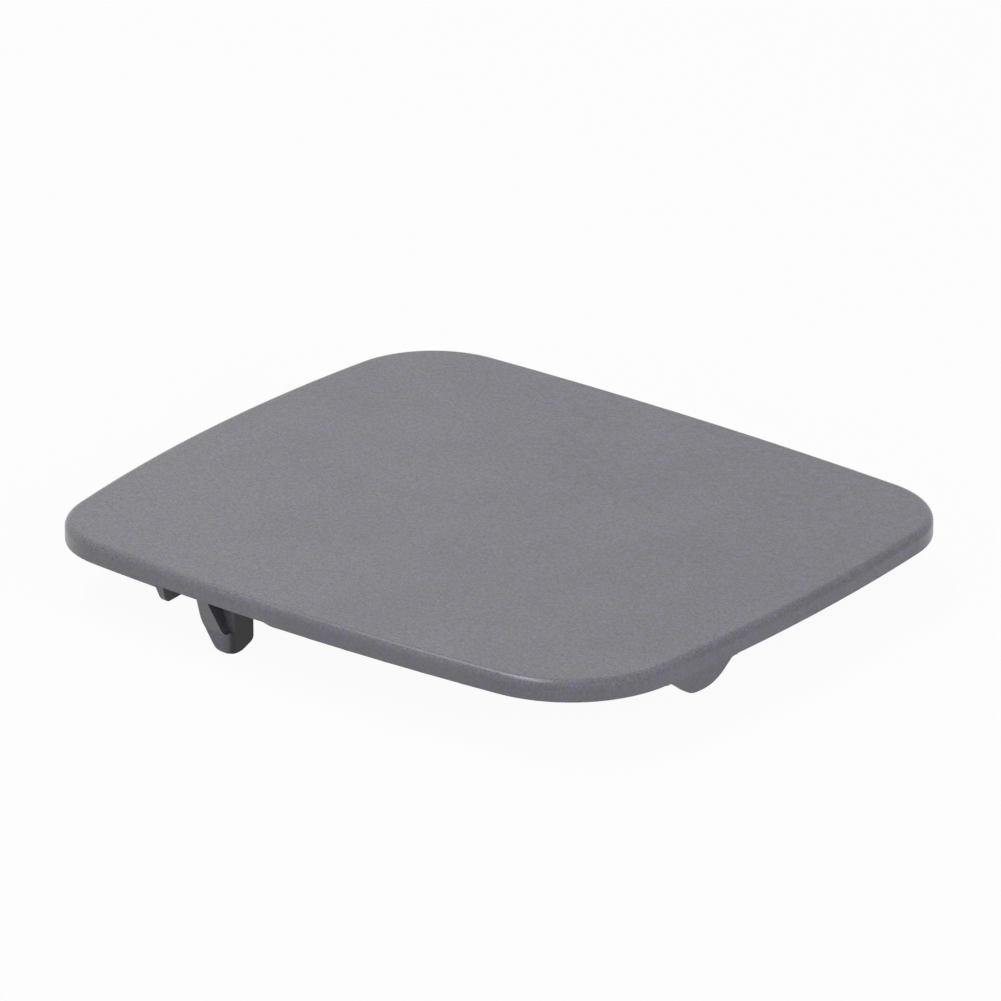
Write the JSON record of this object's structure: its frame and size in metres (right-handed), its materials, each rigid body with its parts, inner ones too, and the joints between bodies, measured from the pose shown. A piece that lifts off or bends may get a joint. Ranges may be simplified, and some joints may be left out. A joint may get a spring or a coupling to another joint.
{
  "type": "tow hook cover",
  "caption": "Flat, softly squared cover for the tow hook opening of a vehicle's bumper, with a slim rim, and snap clips, a guide rib and side tongues on its back.",
  "frame": {"origin": "centre of the bounding box, at the height of the clips' tips, which the cover lies on", "axes": "+X along the long side that carries the guide rib, seen with the face up and that side near; +Y from there to the far side; +Z out of the painted face"},
  "size_m": [0.091, 0.0794, 0.0099],
  "materials": {
    "painted_plastic": "satin violet-grey paint on the face and rim, over black moulded plastic"
  },
  "bodies": {
    "root": {"tow_hook_cover": "painted_plastic"}
  },
  "joints": []
}
